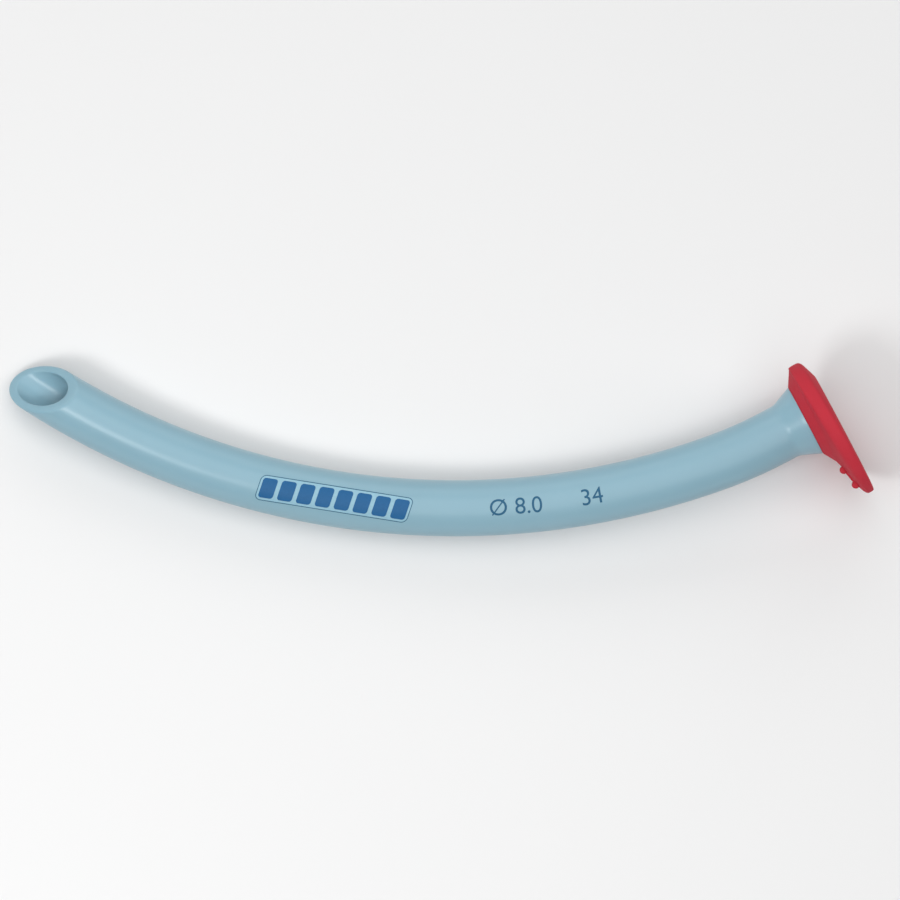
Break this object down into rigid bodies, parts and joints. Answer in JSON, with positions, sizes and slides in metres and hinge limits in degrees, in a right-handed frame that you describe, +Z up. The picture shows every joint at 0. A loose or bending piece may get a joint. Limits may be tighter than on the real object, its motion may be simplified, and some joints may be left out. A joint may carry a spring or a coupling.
{
  "type": "nasopharyngeal airway",
  "caption": "Soft curved nasal airway tube with a slanted rounded tip, a through lumen, a trumpet end and an off-centre oval flange.",
  "frame": {"origin": "centre of the whole airway's box on the surface it lies on, as it rests on its side with the slanted tip's opening upwards", "axes": "+X from the tip towards the flange, +Y towards the hollow side of the curve, +Z up from the surface"},
  "size_m": [0.1738, 0.0348, 0.0275],
  "materials": {
    "tube_pvc": "satin soft PVC, light blue",
    "flange_pvc": "matte moulded soft PVC, red"
  },
  "bodies": {
    "root": {"airway_tube": "tube_pvc", "flange": "flange_pvc"}
  },
  "joints": []
}
